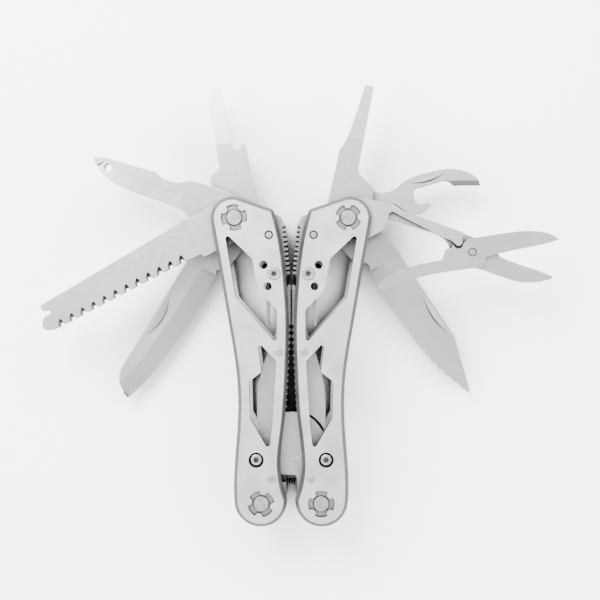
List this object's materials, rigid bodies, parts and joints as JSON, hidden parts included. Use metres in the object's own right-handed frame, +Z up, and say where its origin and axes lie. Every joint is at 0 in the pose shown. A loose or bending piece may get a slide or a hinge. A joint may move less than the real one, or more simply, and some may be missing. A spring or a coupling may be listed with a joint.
{
  "type": "multi tool",
  "caption": "Folding multi tool: spring pliers between two handles that hold fanned-out blades, screwdrivers, saw, opener and scissors.",
  "frame": {"origin": "middle of the footprint on the surface that the tool lies on", "axes": "+X across the two handles towards the scissors, +Y along the handles from the plier pivots to the tool pivots, +Z up from the resting face"},
  "size_m": [0.1642, 0.1406, 0.0207],
  "materials": {
    "blade_steel": "satin brushed along the blade, ground edges",
    "hardware_steel": "machined, fine turned",
    "jaw_steel": "tumbled satin",
    "scale_steel": "bead-blasted, fine matt",
    "spring_steel": "dark tempered"
  },
  "bodies": {
    "right_jaw": {"plier_half_a": "jaw_steel", "plier_rivet": "hardware_steel", "plier_spring": "spring_steel"},
    "left_jaw": {"plier_half_b": "jaw_steel"},
    "right_pivot": {"right_plier_axle": "hardware_steel"},
    "left_handle": {"left_front_scale": "scale_steel", "left_back_scale": "scale_steel", "left_tool_axle": "hardware_steel", "left_plier_axle": "hardware_steel", "left_pivot_nuts": "hardware_steel", "left_tool_washers": "hardware_steel", "left_plier_bushes": "hardware_steel", "left_handle_screws": "hardware_steel", "left_spring_post": "hardware_steel", "left_end_sleeve": "hardware_steel", "left_dome_rivets": "hardware_steel", "left_lock_pin": "hardware_steel", "left_leaf_spring": "spring_steel"},
    "right_handle": {"right_front_scale": "scale_steel", "right_back_scale": "scale_steel", "right_tool_axle": "hardware_steel", "right_pivot_nuts": "hardware_steel", "right_tool_washers": "hardware_steel", "right_plier_bushes": "hardware_steel", "right_handle_screws": "hardware_steel", "right_spring_post": "hardware_steel", "right_end_sleeve": "hardware_steel", "right_dome_rivets": "hardware_steel", "right_lock_pin": "hardware_steel", "right_leaf_spring": "spring_steel"},
    "left_lever": {"left_lock_lever": "jaw_steel"},
    "right_lever": {"right_lock_lever": "jaw_steel"},
    "saw": {"saw_blade": "blade_steel"},
    "cutter": {"package_cutter": "blade_steel"},
    "notched_driver": {"notched_screwdriver": "blade_steel"},
    "knife": {"knife_blade": "blade_steel"},
    "flat_driver": {"flat_screwdriver": "blade_steel"},
    "opener": {"can_opener": "blade_steel"},
    "serrated_knife": {"serrated_blade": "blade_steel"},
    "scissors": {"scissors_back_blade": "blade_steel", "scissors_spring": "blade_steel", "scissors_rivet": "hardware_steel"},
    "scissors_grip": {"scissors_front_blade": "blade_steel"}
  },
  "joints": [
    {"name": "unfold_left", "type": "hinge", "parent": "right_jaw", "child": "left_handle", "pos_m": [-0.01217, -0.06296, 0.0102], "axis": [0, 0, 1], "range_deg": [0, 170]},
    {"name": "jaw_open", "type": "hinge", "parent": "right_jaw", "child": "left_jaw", "pos_m": [-0.00277, -0.04606, 0.0102], "axis": [0, 0, 1], "range_deg": [0, 18.1], "deforming": ["plier_spring"]},
    {"name": "right_pivot_shift", "type": "slide", "parent": "right_jaw", "child": "right_pivot", "axis": [0.8034, 0.5954, 0], "range_m": [0, 0.00607]},
    {"name": "unfold_right", "type": "hinge", "parent": "right_pivot", "child": "right_handle", "pos_m": [0.00663, -0.06296, 0.0102], "axis": [0, 0, -1], "range_deg": [0, 170]},
    {"name": "saw_open", "type": "hinge", "parent": "left_handle", "child": "saw", "pos_m": [-0.02064, 0.02664, 0.0102], "axis": [0, 0, -1], "range_deg": [-67.5, 112.5]},
    {"name": "cutter_open", "type": "hinge", "parent": "left_handle", "child": "cutter", "pos_m": [-0.02064, 0.02664, 0.0102], "axis": [0, 0, -1], "range_deg": [-119, 61]},
    {"name": "notched_driver_open", "type": "hinge", "parent": "left_handle", "child": "notched_driver", "pos_m": [-0.02064, 0.02664, 0.0102], "axis": [0, 0, -1], "range_deg": [-175.9, 4.1]},
    {"name": "knife_open", "type": "hinge", "parent": "left_handle", "child": "knife", "pos_m": [-0.02064, 0.02664, 0.0102], "axis": [0, 0, -1], "range_deg": [-38.6, 141.4]},
    {"name": "flat_driver_open", "type": "hinge", "parent": "right_handle", "child": "flat_driver", "pos_m": [0.0151, 0.02664, 0.0102], "axis": [0, 0, 1], "range_deg": [-175.6, 4.4]},
    {"name": "opener_open", "type": "hinge", "parent": "right_handle", "child": "opener", "pos_m": [0.0151, 0.02664, 0.0102], "axis": [0, 0, 1], "range_deg": [-110.6, 69.4]},
    {"name": "serrated_knife_open", "type": "hinge", "parent": "right_handle", "child": "serrated_knife", "pos_m": [0.0151, 0.02664, 0.0102], "axis": [0, 0, 1], "range_deg": [-41.5, 138.5]},
    {"name": "scissors_open", "type": "hinge", "parent": "right_handle", "child": "scissors", "pos_m": [0.0151, 0.02664, 0.0102], "axis": [0, 0, 1], "range_deg": [-80.25, 99.75]},
    {"name": "scissors_cut", "type": "hinge", "parent": "scissors", "child": "scissors_grip", "pos_m": [0.05458, 0.01595, 0.016], "axis": [0, 0, 1], "range_deg": [-24, 0], "stiffness_Nm_per_rad": 0.02, "deforming": ["scissors_spring"]},
    {"name": "left_lever_press", "type": "hinge", "parent": "left_handle", "child": "left_lever", "pos_m": [-0.00978, 0.02124, 0.0102], "axis": [0, 0, -1], "range_deg": [0, 4.5], "stiffness_Nm_per_rad": 0.05, "deforming": ["left_leaf_spring"]},
    {"name": "right_lever_press", "type": "hinge", "parent": "right_handle", "child": "right_lever", "pos_m": [0.00424, 0.02124, 0.0102], "axis": [0, 0, 1], "range_deg": [0, 4.5], "stiffness_Nm_per_rad": 0.05, "deforming": ["right_leaf_spring"]}
  ],
  "couplings": [
    {"joint": "jaw_open", "follows": "unfold_left", "ratio": 0.10588},
    {"joint": "right_pivot_shift", "follows": "unfold_left", "m_per_rad": 0.0020408}
  ]
}
